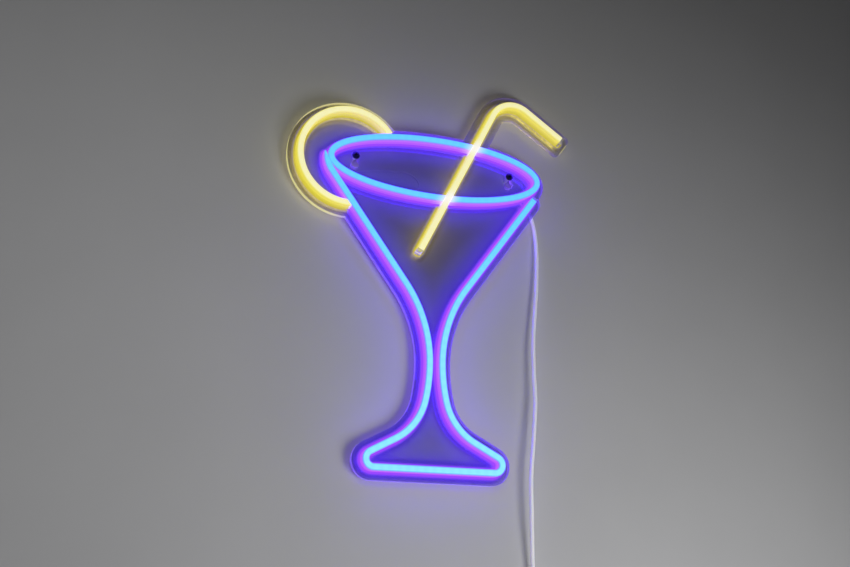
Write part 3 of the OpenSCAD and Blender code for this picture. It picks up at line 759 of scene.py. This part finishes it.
def acrylic_edges():
    """The sawn and polished edge. The light that comes out of it from inside the sheet is a painted glow,
    coloured after the nearest strips.
    """
    f = Finish("acrylic_edges")
    blue = f.eased(f.attribute("gap_blue"), 0.02, 0.005)
    yellow = f.eased(f.attribute("gap_yellow"), 0.0095, 0.0072)
    # Painted glow: the edge's emission colour and its share follow the nearest strips.
    tint = f.between(yellow * (1 - 0.7 * blue), (0.24, 0.11, 1.0), (0.85, 0.8, 0.25))
    lit = f.surface(Base_Color=(0.35, 0.36, 0.42), Roughness=0.32 + 0.08 * f.grain(700, 2),
                    Emission_Color=tint, Emission_Strength=0.9)
    return f.done(f.add("ShaderNodeMixShader", {}, {0: 0.14 + 0.5 * blue + 0.6 * yellow * (1 - blue),
                        1: tinted(f, (0.8, 0.8, 0.85)), 2: lit}))


for finish in (acrylic_sheet("acrylic_front", 1.0), acrylic_edges(), acrylic_sheet("acrylic_back", 0.35)):
    panel.data.materials.append(finish)
panel.data.polygons.foreach_set("material_index", [1 + (p.normal.y > 0.9) - (p.normal.y < -0.9)
                                                   for p in panel.data.polygons])


# Wall screws: 4 mm zinc-plated screws in the wall, with black painted pan heads and a cross recess.
# The panel's keyholes hang on them, and they stay in the wall when the sign is lifted.
panel_lo, panel_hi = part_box("acrylic_panel")


def painted_head():
    f = Finish("painted_head")
    worn = f.grain(700, 4)
    depth = f.add("ShaderNodeSeparateXYZ", {}, {"Vector": f.place()}, "Y")
    shank = f.eased(depth, panel_lo.y - 0.0001, panel_lo.y + 0.0001)
    black = f.ramp(worn, (0.35, (0.008, 0.008, 0.010)), (0.8, (0.02, 0.02, 0.024)))
    return f.done(f.surface(Base_Color=f.between(shank, black, (0.6, 0.6, 0.62)), Metallic=0.3 * shank,
                            Roughness=0.32 + 0.2 * worn, Coat_Weight=0.2,
                            Normal=f.bumped(f.grain(3000, 2), 0.00003)))


screws = moulded("wall_screws", 0.00025, angle=30)
screws.data.materials.append(painted_head())


# LED tapes: white flexible board with copper pads, one under each strip, with moulded LEDs
# and a black resistor after every third. They are sealed in the sleeves' channels.
def tape_board():
    f = Finish("tape_board")
    weave = f.grain(1500, 2)
    return f.done(f.surface(Base_Color=f.ramp(weave, (0.3, (0.8, 0.8, 0.77)), (0.7, (0.9, 0.9, 0.87))),
                            Roughness=0.35 + 0.15 * weave))


def led_package(name, tint):
    f = Finish(name)
    spots = f.grain(800, 2)
    return f.done(f.surface(Base_Color=tint, Roughness=0.3 + 0.2 * spots, Emission_Color=tint,
                            Emission_Strength=1.0))


boards = tape_board()
packages = {"blue": led_package("led_blue", (0.35, 0.6, 1.0)),
            "yellow": led_package("led_yellow", (1.0, 0.8, 0.35))}


def dressed(node, finish):
    """A CAD node that keeps its own shape and takes a finish."""
    mesh = frame["nodes"][node].data
    mesh.materials.clear()
    mesh.materials.append(finish)


for strip in tracks:
    tint = "yellow" if strip in ("lemon", "straw") else "blue"
    dressed(f"{strip}_tape", boards)
    dressed(f"{strip}_leds", packages[tint])


# End caps: clear silicone, moulded, and glued on the free ends of the straw and of the bowl's
# right side. They close the strips' channels.
def clear_silicone(name):
    f = Finish(name)
    cloud = f.grain(500, 3)
    body = f.surface(Base_Color=(0.78, 0.78, 0.86), Roughness=0.15 + 0.1 * cloud, Coat_Weight=0.5,
                     Normal=f.bumped(cloud, 0.0001))
    return f.done(f.add("ShaderNodeMixShader", {}, {0: 0.25 + 0.2 * cloud,
                        1: f.add("ShaderNodeBsdfTransparent", {}, {"Color": (0.9, 0.9, 0.95)}), 2: body}))


clear_rubber = clear_silicone("clear_silicone")
caps = moulded("end_caps", 0.0004, angle=40, steps=3)
caps.data.materials.append(clear_rubber)


# Wires: fine clear-jacketed pairs behind the panel, through its small holes to the tapes. Three
# leave the splice, for the glass, the rim and the straw; jumpers go on over the rim's two cuts
# and from the straw to the lemon.
splice_x = 0.101
splice_top = -0.003
splice_y = panel_hi.y + 0.0024
wire_y = panel_hi.y + 0.0016
wire_d = 0.0013
rim_tap = [np.array((rim_a * math.cos(a), rim_z + rim_b * math.sin(a)))
           for a in np.radians([75.5, 60.5, -77.5, -90])]
glass_feed = on_side(-0.038)
rim_feed = rim_arc(6, 8)[0]
straw_feed = straw_foot + 0.139 * straw_dir
straw_tap = straw_foot + 0.052 * straw_dir
lemon_tap = lemon_at + lemon_r * towards(math.radians(262))
lemon_wire = [(-0.086, -0.04), (-0.082, -0.024), (-0.0736, -0.013), (-0.052, -0.0093), (-0.0315, -0.0078),
              (-0.02, -0.0106), (-0.0135, -0.018), (-0.015, -0.027), (-0.012, -0.038)]


def behind(p, y=wire_y):
    return (p[0], y, p[1])


def drop_in(p):
    """A wire's end, from its groove's floor back through the panel."""
    return [behind(p, seat_y + 0.00015), behind(p, panel_hi.y + 0.0002)]


def through(p):
    return drop_in(p)[::-1]


wire_runs = {
    "feed_wires": [
        [(splice_x - 0.001, splice_y, splice_top), (splice_x - 0.003, wire_y, splice_top + 0.003),
         behind((0.096, -0.006)), behind((0.0945, -0.022)), behind(glass_feed + (-0.0006, 0.004)),
         *through(glass_feed)],
        [(splice_x + 0.0012, splice_y, splice_top), behind((0.1032, 0)),
         behind(rim_feed + (-0.0006, 0.0015)), *through(rim_feed)],
        [(splice_x, splice_y - 0.0006, splice_top), behind((0.1, 0.002)),
         *[behind((rim_a * math.cos(a), rim_z + rim_b * math.sin(a) + 0.0035))
           for a in np.radians([28, 37, 46, 55, 64])], *through(straw_feed)]],
    "rim_jumpers": [[*drop_in(a), behind(a + 0.25 * (b - a)), behind(a + 0.75 * (b - a)), *through(b)]
                    for a, b in (rim_tap[:2], rim_tap[2:])],
    "lemon_jumper": [[*drop_in(lemon_tap), *[behind(p) for p in lemon_wire], *through(straw_tap)]]}


def wire_jacket():
    f = Finish("wire_jacket")
    strands = f.grain(1800, 2)
    clear = f.ramp(strands, (0.35, (0.62, 0.6, 0.66)), (0.7, (0.82, 0.81, 0.86)))
    return f.done(f.surface(Base_Color=clear, Roughness=0.22 + 0.1 * strands, Coat_Weight=0.5))


clear_jacket = wire_jacket()
for node, runs in wire_runs.items():
    parts = [round_tube(f"{node}_part", smooth_route(run, 6), wire_d, 10) for run in runs]
    wires = parts[0]
    wires.name = wires.data.name = f"{node}_drawn"
    if parts[1:]:
        with bpy.context.temp_override(active_object=wires, object=wires,
                                       selected_editable_objects=parts):
            bpy.ops.object.join()
    wires.data.materials.append(clear_jacket)
    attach(wires, "sign")
    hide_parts(node)


# Splice and clip: a white shrunk sleeve where the wires meet the lead, and a small clear clip
# glued to the panel's back that takes the pull off it.
def soft_white(name, low, high, roughness, texture=2600, depth=0.00005):
    """Moulded white plastic or rubber, with a fine texture."""
    f = Finish(name)
    cloud = f.grain(120, 3)
    return f.done(f.surface(Base_Color=f.ramp(cloud, (0.3, low), (0.7, high)),
                            Roughness=roughness + 0.1 * cloud,
                            Normal=f.bumped(f.grain(texture, 3), depth)))


splice = moulded("splice_sleeve", 0.0005, steps=3)
splice.data.materials.append(soft_white("shrunk_sleeve", (0.72, 0.72, 0.72), (0.82, 0.82, 0.82), 0.45))
clip = moulded("lead_clip", 0.0006, steps=3)
clip.data.materials.append(clear_rubber)


# In-line switch: two white moulded half shells held by two screws, with a rocker on its own pins
# between them, and a ribbed rubber relief at each end where the lead passes in.
shell_white = soft_white("switch_white", (0.7, 0.7, 0.7), (0.76, 0.76, 0.76), 0.34)
for node in ("switch_rear_shell", "switch_front_shell"):
    shell = moulded(node, 0.0012, steps=4, angle=50)
    shell.data.materials.append(shell_white)


def plated(name, low, high, roughness):
    f = Finish(name)
    brushed = f.grain(900, at=f.place((1, 1, 12)))
    return f.done(f.surface(Base_Color=f.ramp(brushed, (0.3, low), (0.7, high)), Metallic=1.0,
                            Roughness=roughness + 0.12 * brushed, Normal=f.bumped(brushed, 0.00002)))


zinc = plated("zinc", (0.48, 0.48, 0.5), (0.62, 0.62, 0.64), 0.3)
brass = plated("stamped_brass", (0.66, 0.46, 0.18), (0.82, 0.62, 0.3), 0.25)
switch_screws = moulded("switch_screws", 0.0002)
switch_screws.data.materials.append(zinc)
dressed("switch_contacts", brass)
dressed("rocker_bridge", brass)
rocker = moulded("rocker", 0.0005, steps=3, angle=30)
rocker.data.materials.append(soft_white("rocker_white", (0.78, 0.78, 0.78), (0.82, 0.82, 0.82), 0.2,
                                        texture=900, depth=0.00002))


def ribbed_relief(name, ends, profile, ribs):
    """Tapered rubber relief turned about the lead, with ribs set along it. ends are places and lengths."""
    rib_h = 0.00022
    bore_r = lead_d / 2 + 0.00005
    around = 32
    lengths = np.linspace(0, 1, 12 * ribs + 1)
    outline = [(profile(t) + rib_h * math.sin(2 * math.pi * ribs * t) ** 2 * (0.02 < t < 0.98), t)
               for t in lengths]
    rows = [(bore_r, 0.0), *outline, (bore_r, 1.0)]
    verts = []
    faces = []
    for place, reach in ends:
        start = len(verts)
        m = len(rows)
        for r, t in rows:
            verts += [Vector(place) + Vector((r * math.cos(a), r * math.sin(a), reach * t))
                      for a in 2 * math.pi * np.arange(around) / around]
        faces += [(start + i * around + k, start + i * around + (k + 1) % around,
                   start + (i + 1) % m * around + (k + 1) % around, start + (i + 1) % m * around + k)
                  [::(1 if reach > 0 else -1)] for i in range(m) for k in range(around)]
    relief = join_mesh(name, verts, faces)
    relief.data.polygons.foreach_set("use_smooth", [True] * len(faces))
    relief.data.set_sharp_from_angle(angle=math.radians(50))
    turn_outwards(relief)
    return relief


shell_lo, shell_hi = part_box("switch_rear_shell")
grommet_lo, grommet_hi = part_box("switch_grommets")
grommet_l = grommet_hi.z - shell_hi.z
lead_x = (grommet_lo.x + grommet_hi.x) / 2
lead_y = (grommet_lo.y + grommet_hi.y) / 2
reliefs = ribbed_relief("switch_reliefs", [((lead_x, lead_y, shell_hi.z), grommet_l),
                                           ((lead_x, lead_y, shell_lo.z), -grommet_l)],
                        lambda t: 0.0034 - 0.0009 * t, 5)
relief_rubber = soft_white("relief_rubber", (0.66, 0.66, 0.68), (0.74, 0.74, 0.75), 0.5)
reliefs.data.materials.append(relief_rubber)
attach(reliefs, "sign")
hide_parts("switch_grommets")


# Coil tie: a strip of woven hook-and-loop tape round the coil's upper side. It goes right round
# the bundle and its end laps over its start.
tie_half = 1.5 * lead_d + 0.0003
tie_t = 0.0009
tie_w = 0.0095
tie_turn = math.radians(26)


def woven_tape():
    f = Finish("woven_tape")
    uv = f.add("ShaderNodeUVMap", {"uv_map": "weave"})
    cells = f.add("ShaderNodeTexBrick", {"offset": 0.5}, {
        "Vector": uv, "Scale": 1600, "Mortar Size": 0.06, "Brick Width": 1.0, "Row Height": 0.6,
        "Color1": (0.03, 0.03, 0.033), "Color2": (0.05, 0.05, 0.055), "Mortar": (0.012, 0.012, 0.013)})
    height = f.add("ShaderNodeRGBToBW", {}, {"Color": cells})
    return f.done(f.surface(Base_Color=cells, Roughness=0.85, Sheen_Weight=0.3,
                            Normal=f.bumped(height, 0.0004, 0.6)))


def tie_section(t):
    """One turn and a quarter round the bundle; the end of the tape lies on its start."""
    corner = 0.0019
    side = tie_half + tie_t / 2 + (tie_t * 1.02 if t > 1 else 0)
    straight = 2 * (side - corner)
    bend = corner * math.pi / 2
    s = (t % 1) * 4 * (straight + bend)
    k, s = divmod(s, straight + bend)
    turn = k * math.pi / 2
    if s < straight:
        x, y, a = side, -straight / 2 + s, 0
    else:
        a = (s - straight) / corner
        x, y = side - corner + corner * math.cos(a), straight / 2 + corner * math.sin(a)
    c = math.cos(turn)
    n = math.sin(turn)
    return (x * c - y * n, x * n + y * c), (math.cos(turn + a), math.sin(turn + a))


def coil_strap():
    lengths = np.concatenate([np.linspace(0, 0.9999, 96), np.linspace(1.0001, 1.3, 30)])
    widths = np.linspace(-0.5, 0.5, 9)
    verts, faces, corners = [], [], []
    n, w = len(lengths), len(widths)
    for layer in (-0.5, 0.5):
        for i, t in enumerate(lengths):
            (u, v), (du, dv) = tie_section(t)
            lift = layer * tie_t * 0.96
            for b in widths:
                r = coil_r + u + lift * du
                a = math.pi / 2 + b * tie_turn
                verts.append((coil_at.x + r * math.cos(a), coil_at.y + v + lift * dv,
                              coil_at.z + r * math.sin(a)))

    def at(layer, i, j):
        return (layer * n + i) * w + j

    for i in range(n - 1):
        for j in range(w - 1):
            for layer, flip in ((0, 1), (1, -1)):
                faces.append((at(layer, i, j), at(layer, i + 1, j),
                              at(layer, i + 1, j + 1), at(layer, i, j + 1))[::flip])
        for j, flip in ((0, 1), (w - 1, -1)):
            faces.append((at(0, i, j), at(1, i, j), at(1, i + 1, j), at(0, i + 1, j))[::flip])
    for j in range(w - 1):
        for i, flip in ((0, 1), (n - 1, -1)):
            faces.append((at(0, i, j), at(0, i, j + 1), at(1, i, j + 1), at(1, i, j))[::flip])
    strap = join_mesh("coil_strap", verts, faces)
    uv = strap.data.uv_layers.new(name="weave")
    around = 4 * (2 * tie_half) * lengths
    places = np.array([(around[v % (n * w) // w], widths[v % w] * tie_w) for v in range(len(verts))],
                      np.float32)
    uv.data.foreach_set("uv", places[[l.vertex_index for l in strap.data.loops]].ravel())
    turn_outwards(strap)
    strap.data.polygons.foreach_set("use_smooth", [True] * len(faces))
    strap.data.set_sharp_from_angle(angle=math.radians(50))
    return strap


strap = coil_strap()
strap.data.materials.append(woven_tape())
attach(strap, "sign")
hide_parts("coil_tie")


# Plug: a moulded white grip with its tapered relief, a folded steel shell, and a white tongue
# that carries four gold-plated contacts.
grip = moulded("plug_grip", 0.0009, steps=4, angle=40)
grip.data.materials.append(soft_white("plug_white", (0.7, 0.7, 0.7), (0.76, 0.76, 0.76), 0.36))
plug_shell = moulded("plug_shell", 0.0001)
plug_shell.data.materials.append(plated("folded_steel", (0.6, 0.6, 0.62), (0.72, 0.72, 0.74), 0.18))
tongue = moulded("plug_tongue", 0.0002)
tongue.data.materials.append(soft_white("tongue_white", (0.76, 0.76, 0.76), (0.84, 0.84, 0.84), 0.25))
dressed("plug_contacts", plated("plated_gold", (0.85, 0.62, 0.2), (0.95, 0.75, 0.35), 0.2))


# The lead's upper route, worked out once more; the result is not kept.
smooth_route(drop_route, 8)
